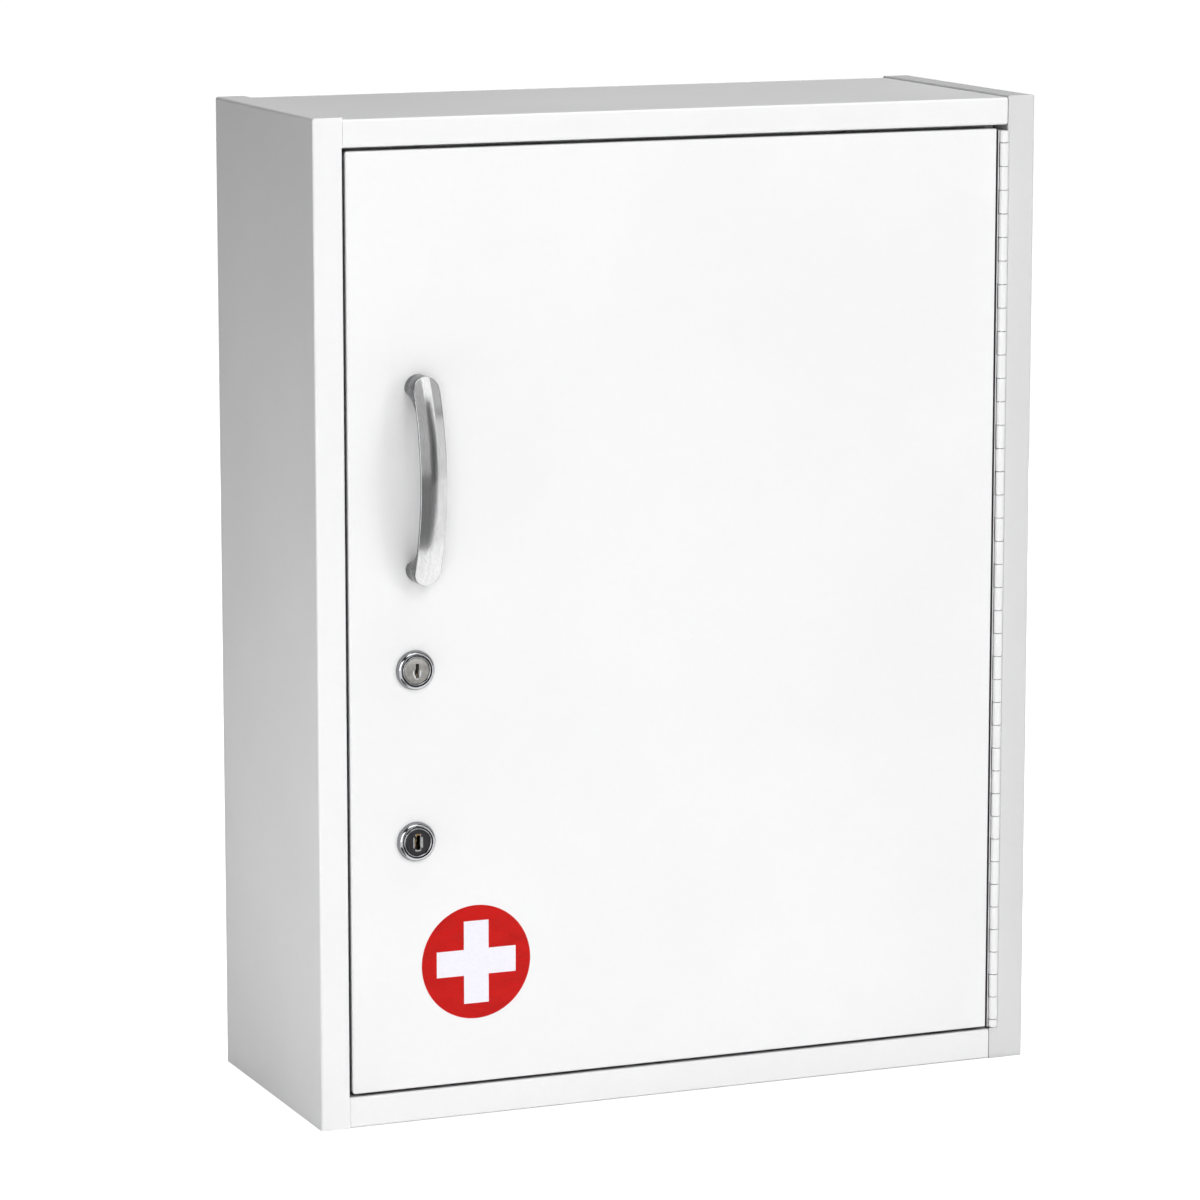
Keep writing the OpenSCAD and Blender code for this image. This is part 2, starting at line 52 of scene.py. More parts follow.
class Mat:
    """A material being built from nodes, with short calls for the nodes used here."""

    def __init__(self, name):
        self.m = bpy.data.materials.new(name)
        self.m.use_nodes = True
        self.t = self.m.node_tree
        self.t.nodes.clear()
        self.out = self.n("ShaderNodeOutputMaterial")
        self.b = self.n("ShaderNodeBsdfPrincipled")
        self.link(self.b.outputs[0], self.out.inputs["Surface"])
        self.pos = self.n("ShaderNodeTexCoord").outputs["Object"]

    def n(self, kind, **props):
        node = self.t.nodes.new(kind)
        for k, v in props.items():
            setattr(node, k, v)
        return node

    def link(self, a, b):
        self.t.links.new(a, b)

    def put(self, socket, value):
        if isinstance(value, bpy.types.NodeSocket):
            self.link(value, socket)
        else:
            socket.default_value = value

    def math(self, op, a, b=None, c=None, clamp=False):
        node = self.n("ShaderNodeMath", operation=op, use_clamp=clamp)
        for i, v in enumerate((a, b, c)):
            if v is not None:
                self.put(node.inputs[i], v)
        return node.outputs[0]

    def scaled(self, scale=(1, 1, 1), rot=(0, 0, 0), loc=(0, 0, 0), src=None):
        node = self.n("ShaderNodeMapping")
        self.link(src or self.pos, node.inputs[0])
        node.inputs["Location"].default_value = loc
        node.inputs["Rotation"].default_value = rot
        node.inputs["Scale"].default_value = scale
        return node.outputs[0]

    def noise(self, scale, detail=2.0, rough=0.5, vec=None, distortion=0.0):
        node = self.n("ShaderNodeTexNoise")
        self.link(vec or self.pos, node.inputs["Vector"])
        node.inputs["Scale"].default_value = scale
        node.inputs["Detail"].default_value = detail
        node.inputs["Roughness"].default_value = rough
        node.inputs["Distortion"].default_value = distortion
        return node.outputs["Fac"]

    def ramp(self, fac, lo, hi, a=0.0, b=1.0):
        """fac from lo..hi taken to a..b, clamped."""
        node = self.n("ShaderNodeMapRange")
        self.link(fac, node.inputs["Value"])
        for k, v in (("From Min", lo), ("From Max", hi), ("To Min", a), ("To Max", b)):
            node.inputs[k].default_value = v
        return node.outputs[0]

    def smooth(self, fac, lo, hi, a=0.0, b=1.0):
        node = self.n("ShaderNodeMapRange", interpolation_type="SMOOTHSTEP")
        self.link(fac, node.inputs["Value"])
        for k, v in (("From Min", lo), ("From Max", hi), ("To Min", a), ("To Max", b)):
            node.inputs[k].default_value = v
        return node.outputs[0]

    def mix(self, fac, a, b):
        node = self.n("ShaderNodeMix", data_type="RGBA")
        self.put(node.inputs[0], fac)
        self.put(node.inputs[6], a if isinstance(a, bpy.types.NodeSocket) else (*a[:3], 1))
        self.put(node.inputs[7], b if isinstance(b, bpy.types.NodeSocket) else (*b[:3], 1))
        return node.outputs[2]

    def xyz(self, src=None):
        node = self.n("ShaderNodeSeparateXYZ")
        self.link(src or self.pos, node.inputs[0])
        return node.outputs

    def edge(self, radius):
        """1 near a sharp convex or concave edge, 0 on the flat."""
        bev = self.n("ShaderNodeBevel", samples=4)
        bev.inputs["Radius"].default_value = radius
        geo = self.n("ShaderNodeNewGeometry")
        dot = self.n("ShaderNodeVectorMath", operation="DOT_PRODUCT")
        self.link(bev.outputs[0], dot.inputs[0])
        self.link(geo.outputs["Normal"], dot.inputs[1])
        return self.smooth(dot.outputs["Value"], 0.995, 0.80)

    def bump(self, height, distance, strength=1.0, normal=None):
        node = self.n("ShaderNodeBump")
        self.link(height, node.inputs["Height"])
        node.inputs["Distance"].default_value = distance
        node.inputs["Strength"].default_value = strength
        if normal is not None:
            self.link(normal, node.inputs["Normal"])
        return node.outputs[0]

    def surface(self, color=None, rough=None, metal=0.0, normal=None, **sockets):
        if color is not None:
            self.put(self.b.inputs["Base Color"], color if isinstance(color, bpy.types.NodeSocket) else (*color[:3], 1))
        if rough is not None:
            self.put(self.b.inputs["Roughness"], rough)
        self.put(self.b.inputs["Metallic"], metal)
        if normal is not None:
            self.link(normal, self.b.inputs["Normal"])
        for k, v in sockets.items():
            self.put(self.b.inputs[k.replace("_", " ")], v)
        return self.m


def powder_coat(name, col, rough=0.36, seed=0.0, deep=(0.10, 0.36), reach=0.005, shaded_slot=None):
    """Semi-gloss powder paint: faint orange peel, slight unevenness, shade deep in narrow gaps."""
    k = Mat(name)
    p = k.scaled(loc=(seed, seed * 0.7, -seed))
    blotch = k.noise(7.0, 3.0, 0.55, p)
    fine = k.noise(260.0, 2.0, 0.5, p)
    speck = k.noise(1500.0, 1.0, 0.5, p)
    c1 = tuple(v * 0.975 for v in col)
    tone = k.mix(k.smooth(blotch, 0.35, 0.65), col, c1)
    tone = k.mix(k.ramp(fine, 0.3, 0.7, 0.0, 0.10), tone, tuple(v * 0.9 for v in col))
    shade = k.n("ShaderNodeAmbientOcclusion", samples=6)
    shade.inputs["Distance"].default_value = reach
    tone = k.mix(k.smooth(shade.outputs["AO"], *deep), (0.035, 0.033, 0.034), tone)
    if shaded_slot:
        # the wall of this narrow slot looks near black in the photograph: that shade is painted, not lit
        x = k.xyz()[0]
        slot_shade = k.math("MULTIPLY", k.smooth(x, shaded_slot[0] - 0.0002, shaded_slot[0] + 0.0001),
                      k.smooth(x, shaded_slot[1] + 0.0002, shaded_slot[1]))
        tone = k.mix(slot_shade, tone, (0.045, 0.043, 0.044))
    r = k.math("ADD", k.ramp(blotch, 0.3, 0.7, rough - 0.04, rough + 0.05),
               k.ramp(speck, 0.3, 0.7, -0.03, 0.03))
    peel = k.noise(620.0, 2.0, 0.45, p)
    wave = k.noise(45.0, 1.0, 0.4, p)
    n1 = k.bump(wave, 0.00035, 0.12)
    n2 = k.bump(peel, 0.00006, 0.35, n1)
    return k.surface(tone, r, 0.0, n2, IOR=1.5)


def zinc(name, col, rough=0.34, along=(40, 40, 900), seed=0.0):
    """Zinc plated steel: drawn lines, a faint bloom of the plating, brighter edges."""
    k = Mat(name)
    lines = k.noise(1.0, 3.0, 0.6, k.scaled(along, loc=(seed, seed, seed)))
    bloom = k.noise(60.0, 4.0, 0.6)
    edge = k.edge(0.0005)
    tone = k.mix(k.smooth(bloom, 0.35, 0.7), col, tuple(v * f for v, f in zip(col, (0.86, 0.87, 0.89))))
    tone = k.mix(k.ramp(lines, 0.35, 0.65, 0.0, 0.25), tone, tuple(v * 0.8 for v in col))
    tone = k.mix(k.math("MULTIPLY", edge, 0.5), tone, tuple(min(1, v * 1.25) for v in col))
    r = k.math("ADD", k.ramp(bloom, 0.3, 0.7, rough - 0.05, rough + 0.08), k.ramp(lines, 0.3, 0.7, -0.05, 0.05))
    return k.surface(tone, r, 1.0, k.bump(lines, 0.00002, 0.5))


def chrome(name, col=(0.47, 0.475, 0.49)):
    """Polished chrome plate with hairline wiping marks, a trace of haze, and painted shade near black in the hollows.
    """
    k = Mat(name)
    wipe = k.noise(1.0, 2.0, 0.6, k.scaled((900, 300, 120), rot=(0, 0.6, 0)))
    haze = k.noise(350.0, 2.0, 0.5)
    edge = k.edge(0.0003)
    tone = k.mix(k.smooth(haze, 0.45, 0.75), col, tuple(v * 0.93 for v in col))
    tone = k.mix(k.math("MULTIPLY", edge, 0.25), tone, (0.86, 0.86, 0.85))
    # painted shade: near black where the plate comes close to other surfaces
    hollow_shade = k.n("ShaderNodeAmbientOcclusion", samples=6)
    hollow_shade.inputs["Distance"].default_value = 0.0022
    tone = k.mix(k.smooth(hollow_shade.outputs["AO"], 0.42, 0.85), (0.03, 0.03, 0.032), tone)
    # painted shade: darker down the bezel's sides, to match the photograph; whether the plating is duller
    # there is a guess
    _, y, _ = k.xyz()
    turn = k.xyz(k.n("ShaderNodeTexCoord").outputs["Normal"])[1]
    bezel_side_shade = k.math("MULTIPLY", k.smooth(turn, -0.88, -0.45), k.math("LESS_THAN", y, -0.07748))
    tone = k.mix(k.math("MULTIPLY", bezel_side_shade, 0.60), tone, (0.13, 0.13, 0.14))
    r = k.math("ADD", k.ramp(wipe, 0.3, 0.7, 0.035, 0.075), k.ramp(haze, 0.4, 0.8, 0.0, 0.05))
    return k.surface(tone, r, 1.0, k.bump(wipe, 0.000004, 0.35))


def rubber(name, col):
    k = Mat(name)
    grain = k.noise(2200.0, 3.0, 0.6)
    dust = k.noise(220.0, 4.0, 0.6)
    tone = k.mix(k.smooth(dust, 0.5, 0.75, 0.0, 0.5), col, tuple(v * 1.8 for v in col))
    return k.surface(tone, k.ramp(dust, 0.3, 0.7, 0.6, 0.8), 0.0, k.bump(grain, 0.00004, 0.5))


def brass(name):
    k = Mat(name)
    grain = k.noise(1.0, 3.0, 0.6, k.scaled((1400, 300, 300)))
    tarnish = k.noise(420.0, 4.0, 0.6)
    tone = k.mix(k.smooth(tarnish, 0.4, 0.7), (0.80, 0.62, 0.30), (0.50, 0.36, 0.16))
    return k.surface(tone, k.ramp(tarnish, 0.3, 0.7, 0.22, 0.42), 1.0, k.bump(grain, 0.00001, 0.5))


WHITE = (0.905, 0.905, 0.908)
M = {
    "cabinet_paint": powder_coat("cabinet_paint", WHITE, 0.36, 0.0),
    # painted shade: the right side panel gets a darker copy of the white paint, standing in for light that falls off
    # towards the right
    "right_side_shaded_paint": powder_coat("right_side_shaded_paint", (0.715, 0.715, 0.72), 0.38, 1.4, deep=(0.16, 0.56), reach=0.008),
    "door_paint": powder_coat("door_paint", (0.915, 0.915, 0.918), 0.34, 3.1),
    "hinge_paint": powder_coat("hinge_paint", (0.90, 0.90, 0.903), 0.38, 5.7, deep=(0.03, 0.20), reach=0.003,
                               shaded_slot=(0.1826, 0.18312)),
    "shelf_paint": powder_coat("shelf_paint", (0.89, 0.89, 0.893), 0.38, 8.3),
    "standard_steel": zinc("standard_steel", (0.74, 0.75, 0.76), 0.36, (900, 900, 25)),
    "clip_steel": zinc("clip_steel", (0.72, 0.73, 0.74), 0.32, (60, 700, 700), 2.0),
    "pin_steel": zinc("pin_steel", (0.60, 0.61, 0.62), 0.30, (900, 900, 20), 4.0),
    "screw_steel": zinc("screw_steel", (0.68, 0.69, 0.70), 0.30, (500, 500, 500), 6.0),
    "nut_zinc": zinc("nut_zinc", (0.66, 0.66, 0.65), 0.33, (700, 700, 60), 8.0),
    "cam_zinc": zinc("cam_zinc", (0.70, 0.71, 0.71), 0.30, (60, 400, 500), 9.0),
    "bumper_rubber": rubber("bumper_rubber", (0.055, 0.055, 0.058)),
    "lock_chrome": chrome("lock_chrome"),
    "wafer_brass": brass("wafer_brass"),
}

# satin metal of the handle: fine lines that run along the bow
k = Mat("handle_metal")
fine = k.noise(1.0, 3.0, 0.65, k.scaled((2600, 1500, 45)))
broad = k.noise(1.0, 3.0, 0.6, k.scaled((420, 240, 28), loc=(3, 1, 2)))
pits = k.noise(900.0, 3.0, 0.6)
edge = k.edge(0.0006)
tone = k.mix(k.ramp(broad, 0.3, 0.7), (0.61, 0.61, 0.615), (0.54, 0.54, 0.545))
tone = k.mix(k.ramp(fine, 0.35, 0.7, 0.0, 0.45), tone, (0.38, 0.38, 0.385))
tone = k.mix(k.math("MULTIPLY", edge, 0.12), tone, (0.80, 0.80, 0.80))
# painted shade: dark pitted metal where the handle comes close to the door
near = k.n("ShaderNodeAmbientOcclusion", samples=6)
near.inputs["Distance"].default_value = 0.030
metal_and_painted_shade = k.mix(k.ramp(pits, 0.38, 0.62), (0.20, 0.20, 0.205), (0.07, 0.07, 0.073))
tone = k.mix(k.smooth(near.outputs["AO"], 0.60, 0.90), metal_and_painted_shade, tone)
# painted shade: narrow walls darker than the long faces, to match the photograph; what darkens them there is a guess
turn = k.n("ShaderNodeSeparateXYZ")
k.link(k.n("ShaderNodeTexCoord").outputs["Normal"], turn.inputs[0])
tone = k.mix(k.smooth(turn.outputs[1], -0.80, -0.55), tone, metal_and_painted_shade)
rgh = k.math("ADD", k.ramp(fine, 0.3, 0.7, 0.13, 0.19), k.ramp(broad, 0.3, 0.7, -0.02, 0.03))
M["handle_metal"] = k.surface(
    tone, rgh, 1.0, k.bump(fine, 0.00001, 0.5, k.bump(pits, 0.00001, 0.3)))


def plug_face(name, face, face_rough, axis_z, insert=None, metal=1.0):
    """Plated face of a lock plug, with light turning marks around the keyway."""
    k = Mat(name)
    x, y, z = k.xyz()
    dx = k.math("ADD", x, 0.1516)
    dz = k.math("SUBTRACT", z, axis_z)
    rad = k.math("SQRT", k.math("ADD", k.math("MULTIPLY", dx, dx), k.math("MULTIPLY", dz, dz)))
    rings = k.n("ShaderNodeCombineXYZ")
    k.link(k.math("MULTIPLY", rad, 3200.0), rings.inputs[0])
    k.link(k.math("MULTIPLY", y, 300.0), rings.inputs[1])
    turned = k.noise(1.0, 2.0, 0.6, rings.outputs[0])
    grain = k.noise(1100.0, 3.0, 0.6)
    edge = k.edge(0.00035)
    tone = k.mix(k.ramp(grain, 0.35, 0.7), face, tuple(v * 0.72 for v in face))
    tone = k.mix(k.ramp(turned, 0.35, 0.7, 0.0, 0.3), tone, tuple(v * 1.25 for v in face))
    bright = tuple(min(0.9, v * 1.6 + 0.06) for v in face)
    tone = k.mix(k.math("MULTIPLY", edge, 0.6), tone, bright)
    r = k.ramp(grain, 0.3, 0.7, face_rough - 0.05, face_rough + 0.08)
    if insert:
        # worn metal round the keyway: broad in the middle, narrow at both ends
        ax, az = k.math("ABSOLUTE", dx), k.math("ABSOLUTE", dz)
        middle = k.math("MULTIPLY", k.smooth(ax, 0.00276, 0.00262), k.smooth(az, 0.0030, 0.0025))
        ends = k.math("MULTIPLY", k.smooth(ax, 0.00170, 0.00150), k.smooth(rad, 0.00476, 0.00462))
        proud = k.math("LESS_THAN", y, -0.08086)
        mask = k.math("MULTIPLY", k.math("MAXIMUM", middle, ends), proud)
        metal_and_painted_shade = k.mix(k.ramp(grain, 0.35, 0.7), insert, tuple(v * 0.7 for v in insert))
        # painted shade round the keyway, and painted brass glints beside it and above it
        left = k.math("MULTIPLY", k.smooth(dx, -0.0021, -0.0018), k.smooth(dx, 0.0013, 0.0009))
        hollow_shade = k.math("MULTIPLY", left, k.smooth(rad, 0.0040, 0.0037))
        metal_and_painted_shade = k.mix(hollow_shade, metal_and_painted_shade, (0.030, 0.026, 0.024))
        glint = k.math("MULTIPLY", k.smooth(dx, -0.0019, -0.0014), k.smooth(dx, -0.0008, -0.0011))
        glint = k.math("MULTIPLY", glint, k.smooth(az, 0.0022, 0.0014))
        metal_and_painted_shade = k.mix(glint, metal_and_painted_shade, (0.30, 0.20, 0.10))
        metal_and_painted_shade = k.mix(k.math("MULTIPLY", k.smooth(dz, 0.0026, 0.0031), k.smooth(ax, 0.0014, 0.0010)), metal_and_painted_shade,
                     (0.36, 0.23, 0.10))
        tone = k.mix(mask, tone, metal_and_painted_shade)
    else:
        # painted highlight: a bright lip round the lower half of the keyway
        oval = k.math("SQRT", k.math("ADD", k.math("POWER", k.math("DIVIDE", dx, 0.0024), 2.0),
                                     k.math("POWER", k.math("DIVIDE", dz, 0.0047), 2.0)))
        lip = k.math("MULTIPLY", k.smooth(oval, 0.62, 0.74), k.smooth(oval, 1.02, 0.88))
        lip = k.math("MULTIPLY", lip, k.smooth(dz, 0.0012, -0.0006))
        mottle = k.noise(420.0, 2.0, 0.6)
        tone = k.mix(k.ramp(mottle, 0.36, 0.64, 0.0, 0.55), tone, tuple(v * 0.50 for v in face))
        # painted highlight: the face lighter towards the top
        tone = k.mix(k.math("MULTIPLY", k.smooth(dz, 0.0015, 0.0055), 0.45), tone, (0.80, 0.79, 0.77))
        tone = k.mix(lip, tone, (0.93, 0.93, 0.93))
    return k.surface(tone, r, metal, k.bump(turned, 0.00001, 0.5, k.bump(grain, 0.000015, 0.5)))


# label: red ink and the white vinyl it is printed on
k = Mat("label_print")
streak = k.noise(1.0, 3.0, 0.55, k.scaled((55, 55, 170), rot=(0, 0.5, 0)))
grain = k.noise(1900.0, 2.0, 0.5)
tone = k.mix(k.smooth(streak, 0.35, 0.7), (0.590, 0.0085, 0.0060), (0.510, 0.0065, 0.0050))
M["label_print"] = k.surface(
    tone, k.ramp(streak, 0.3, 0.7, 0.20, 0.34), 0.0, k.bump(grain, 0.000008, 0.4), Specular_IOR_Level=0.10)
k = Mat("label_white")
fibre = k.noise(700.0, 3.0, 0.5)
tone = k.mix(k.smooth(fibre, 0.35, 0.7), (0.90, 0.885, 0.955), (0.865, 0.85, 0.925))
M["label_white"] = k.surface(tone, k.ramp(fibre, 0.3, 0.7, 0.28, 0.38), 0.0, k.bump(fibre, 0.000008, 0.4))
M["plug_nickel"] = plug_face("plug_nickel", (0.47, 0.458, 0.435), 0.32, 0.2422, metal=0.75)
M["plug_black"] = plug_face("plug_black", (0.060, 0.058, 0.064), 0.30, 0.1511, (0.60, 0.60, 0.60))

# ------------------------------------------------------------------ finish the CAD nodes
SLOT = {s["node"]: s["material_slot"] for s in frame["record"]["subparts"]}
BEVEL = {
    "left_side_panel": 0.25, "right_side_panel": 0.25, "top_panel": 0.25, "bottom_panel": 0.25,
    "back_panel": 0.25, "door_panel": 0.25, "door_stiffener": 0.2, "upper_shelf": 0.25,
    "lower_shelf": 0.25, "shelf_standards": 0.12, "shelf_clips": 0.2, "hinge_frame_leaf": 0.12,
    "hinge_door_leaf": 0.12, "upper_lock_cam": 0.25, "lower_lock_cam": 0.25,
    "upper_lock_nut": 0.4, "lower_lock_nut": 0.4, "upper_lock_screw": 0.15,
    "lower_lock_screw": 0.15, "handle_screws": 0.15, "upper_lock_washer": 0.12,
    "lower_lock_washer": 0.12, "upper_lock_housing": 0.06, "lower_lock_housing": 0.06,
}


def finish_mesh(o, bevel_mm, segments=2, angle=32.0):
    """Welds the imported corners, rounds the sharp edges and smooths the shading."""
    weld = o.modifiers.new("weld", "WELD")
    weld.merge_threshold = 2e-6
    if bevel_mm:
        bev = o.modifiers.new("bevel", "BEVEL")
        bev.width = bevel_mm * MM
        bev.segments = segments
        bev.limit_method = "ANGLE"
        bev.angle_limit = math.radians(angle)
        bev.harden_normals = False
        bev.use_clamp_overlap = True
        bev.miter_outer = "MITER_ARC"
    else:
        split = o.modifiers.new("split", "EDGE_SPLIT")
        split.split_angle = math.radians(angle)
    for poly in o.data.polygons:
        poly.use_smooth = True
    wn = o.modifiers.new("normals", "WEIGHTED_NORMAL")
    wn.keep_sharp = True
    wn.weight = 80


OWN = {"right_side_panel": "right_side_shaded_paint"}
for name, o in NODES.items():
    o.data.materials.clear()
    o.data.materials.append(M[OWN.get(name, SLOT[name])])
    finish_mesh(o, BEVEL.get(name, 0.0))

# ------------------------------------------------------------------ label
YF = -0.0775  # front face of the door


def new_piece(name, mesh, body, slot, *nodes):
    o = bpy.data.objects.new(name, mesh)
    scene.collection.objects.link(o)
    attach(o, body)
    if nodes:
        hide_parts(*nodes)
    return o


def cross_disc():
    """Round sticker with a soft rim; the cross and the ring share their edge."""
    cx, cz, r, thick = -0.1181, 0.0834, 0.0306, 0.0002
    arm, half = 0.02226, 0.00697
    corners = [(half, arm), (half, half), (arm, half), (arm, -half), (half, -half), (half, -arm),
               (-half, -arm), (-half, -half), (-arm, -half), (-arm, half), (-half, half), (-half, arm)]
    n = 144
    rim = [(math.cos(2 * math.pi * i / n), math.sin(2 * math.pi * i / n)) for i in range(n)]
    flat = [Vector((r - 0.00012) * Vector(c)) for c in rim] + [Vector(c) for c in corners]
    edges = [(i, (i + 1) % n) for i in range(n)] + [(n + i, n + (i + 1) % 12) for i in range(12)]
    pts, _, tris, *_ = delaunay_2d_cdt(flat, edges, [], 1, 1e-7)
    mesh = bpy.data.meshes.new("cross_disc")
    b = bmesh.new()
    top = [b.verts.new((cx + p[0], YF - thick, cz + p[1])) for p in pts]
    for tri in tris:
        mid = sum((Vector(pts[i]) for i in tri), Vector((0, 0))) / len(tri)
        f = b.faces.new([top[i] for i in tri])
        f.material_index = int((abs(mid[0]) < half and abs(mid[1]) < arm) or (abs(mid[1]) < half and abs(mid[0]) < arm))
    ring = [top[i] for i in range(n)]
    for dr, dy in ((-0.00004, 0.00004), (0.0, 0.00012), (0.0, thick)):
        low = [b.verts.new((cx + (r + dr) * c[0], YF - thick + dy, cz + (r + dr) * c[1])) for c in rim]
        for i in range(n):
            b.faces.new((ring[i], ring[(i + 1) % n], low[(i + 1) % n], low[i]))
        ring = low
    b.faces.new(ring)
    bmesh.ops.recalc_face_normals(b, faces=b.faces)
    b.to_mesh(mesh)
    b.free()
    mesh.materials.append(M["label_print"])
    mesh.materials.append(M["label_white"])
    return mesh


new_piece("cross_sticker", cross_disc(), "door", "label_print", "cross_label")

# ------------------------------------------------------------------ handle
GX, GZ = -0.1492, 0.3426  # centre of the grip
BOW, OUT = 120.0, 24.4  # millimetres, as in the frame
BC = OUT - BOW
HALF_W, HALF_L = 7.2, 54.4


def top_height(x, y):
    """Outer face of the bow: a flat with a slight crown, and a slanted facet at each side."""
    a = abs(x)
    soft = 0.5 * ((a - 2.3) + math.sqrt((a - 2.3) ** 2 + 0.12 ** 2))
    r = BOW - 0.7 / 4.9 * soft - 0.06 * min(1.0, (a / 2.3) ** 2)
    return BC + math.sqrt(r * r - y * y)


def steps(x, table):
    a = abs(x)
    for (x0, r0), (x1, r1) in zip(table, table[1:]):
        if a <= x1:
            return r0 + (r1 - r0) * max(0.0, (a - x0)) / (x1 - x0)
    return table[-1][1]


def under_height(x, y):
    """Hollow behind the grip, which ends in the two feet."""
    r = steps(x, [(0, 114.6), (4.4, 114.6), (6.2, 116.2), (7.2, 118.0)])
    z = BC + math.sqrt(r * r - y * y)
    d = steps(x, [(0, 20.6), (2.8, 20.6), (4.8, 21.2), (6.4, 22.2), (7.2, 23.6)])
    a = abs(y) - 22.5
    if a > 0:
        z = min(z, -2.5 + math.sqrt(max(0.0, d * d - a * a)))
    return max(z, 0.0)


def grip_mesh():
    rc = HALF_L - HALF_W
    ys = [-rc + 2 * rc * i / 150 for i in range(151)]
    cap = [rc + HALF_W * math.sin(math.pi / 2 * i / 22) for i in range(1, 22)] + [HALF_L - 0.0008]
    ys = [-v for v in reversed(cap)] + ys + cap
    tops = [-1, -0.93, -0.80, -0.62, -0.48, -0.40, -0.355, -0.32, -0.285, -0.24, -0.12]
    tops = tops + [0.0] + [-v for v in reversed(tops)]
    lows = [1, 0.93, 0.86, 0.74, 0.62, 0.5, 0.3, 0.0]
    lows = lows + [-v for v in reversed(lows[:-1])]
    b = bmesh.new()
    loops = []
    for y in ys:
        over = max(0.0, abs(y) - rc)
        w = math.sqrt(max(HALF_W ** 2 - over ** 2, 0.0016))
        zt, zb = top_height(w, y), under_height(w, y)
        e = min(0.45, w * 0.5, (zt - zb) * 0.42)
        loop = []
        span = w - e
        for t in tops:
            loop.append((t * span, top_height(t * span, y)))
        for i in range(1, 5):
            p = math.pi / 2 * i / 4
            loop.append((span + e * math.sin(p), top_height(span, y) - e * (1 - math.cos(p))))
        f = min(0.25, w * 0.3, (zt - zb) * 0.2)
        loop.append((w, zb + f))
        for t in lows:
            x = t * (w - f)
            loop.append((x, under_height(x, y)))
        loop.append((-w, zb + f))
        for i in range(4, 0, -1):
            p = math.pi / 2 * i / 4
            loop.append((-span - e * math.sin(p), top_height(span, y) - e * (1 - math.cos(p))))
        loops.append([b.verts.new((GX + x * MM, YF - z * MM, GZ + y * MM)) for x, z in loop])
    m = len(loops[0])
    for p, q in zip(loops, loops[1:]):
        for i in range(m):
            b.faces.new((p[i], p[(i + 1) % m], q[(i + 1) % m], q[i]))
    b.faces.new(loops[0])
    b.faces.new(list(reversed(loops[-1])))
    bmesh.ops.recalc_face_normals(b, faces=b.faces)
    mesh = bpy.data.meshes.new("grip")
    b.to_mesh(mesh)
    b.free()
    for poly in mesh.polygons:
        poly.use_smooth = True
    mesh.materials.append(M["handle_metal"])
    return mesh


new_piece("bow_grip", grip_mesh(), "door", "handle_metal", "handle")

# ------------------------------------------------------------------ camera
cam_data = bpy.data.cameras.new("camera")
cam = bpy.data.objects.new("camera", cam_data)
scene.collection.objects.link(cam)
az, el, dist = math.radians(22.519), math.radians(9.9078), 2.8410
target = Vector((-0.01533, 0.0, 0.25748))
back = Vector((-math.sin(az) * math.cos(el), -math.cos(az) * math.cos(el), math.sin(el)))
cam.location = target + back * dist
cam.rotation_mode = "QUATERNION"
cam.rotation_quaternion = (-back).to_track_quat("-Z", "Y")
cam_data.sensor_width = 36.0
cam_data.lens = 157.2
cam_data.clip_start, cam_data.clip_end = 0.05, 60.0
scene.camera = cam

# ------------------------------------------------------------------ floor and light


def area(name, at, look, size, power, color=(1, 1, 1), spread=180.0):
    d = bpy.data.lights.new(name, "AREA")
    d.shape = "RECTANGLE"
    d.size, d.size_y = size
    d.energy = power
    d.color = color
    d.spread = math.radians(spread)
    o = bpy.data.objects.new(name, d)
    o.location = at
    o.rotation_mode = "QUATERNION"
    o.rotation_quaternion = (Vector(look) - Vector(at)).to_track_quat("-Z", "Y")
    o.visible_camera = False
    scene.collection.objects.link(o)
    return o


# the pale floor is lit evenly from below: its glow on the paint, close by and far off, as the eye
# sees it, and as polished metal mirrors it
FLOOR_NEAR, FLOOR_FAR, FLOOR_SEEN, FLOOR_MIRRORED = 0.0, 0.06, 1.0, 0.55
floor_mesh = bpy.data.meshes.new("floor")
R = 14.0
bm = bmesh.new()
bmesh.ops.create_circle(bm, cap_ends=True, radius=R, segments=96)
bm.to_mesh(floor_mesh)
bm.free()
floor = bpy.data.objects.new("floor", floor_mesh)
floor.location = (0, 0, -0.0004)
scene.collection.objects.link(floor)
k = Mat("floor")
k.surface(k.mix(k.noise(3.0, 3.0, 0.5), (0.80, 0.80, 0.80), (0.78, 0.78, 0.78)), 0.6, 0.0)
fx, fy, fz = k.xyz()
far = k.smooth(k.math("SQRT", k.math("ADD", k.math("MULTIPLY", fx, fx), k.math("MULTIPLY", fy, fy))), 1.0, 5.5)


def set_value(label, value):
    node = k.n("ShaderNodeValue")
    node.label = label
    node.outputs[0].default_value = value
    return node.outputs[0]


glow = k.math("ADD", k.math("MULTIPLY", k.math("SUBTRACT", 1.0, far), set_value("near", FLOOR_NEAR)),
              k.math("MULTIPLY", far, set_value("far", FLOOR_FAR)))
ray = k.n("ShaderNodeLightPath")
seen, mirrored = ray.outputs["Is Camera Ray"], ray.outputs["Is Glossy Ray"]
unseen = k.math("SUBTRACT", 1.0, k.math("ADD", seen, mirrored))
glow = k.math("ADD", k.math("MULTIPLY", unseen, glow),
              k.math("ADD", k.math("MULTIPLY", seen, set_value("eye", FLOOR_SEEN)),
                     k.math("MULTIPLY", mirrored, set_value("shine", FLOOR_MIRRORED))))
k.b.inputs["Emission Color"].default_value = (1, 1, 1, 1)
k.put(k.b.inputs["Emission Strength"], glow)
k.m.cycles.emission_sampling = "NONE"
floor.data.materials.append(k.m)

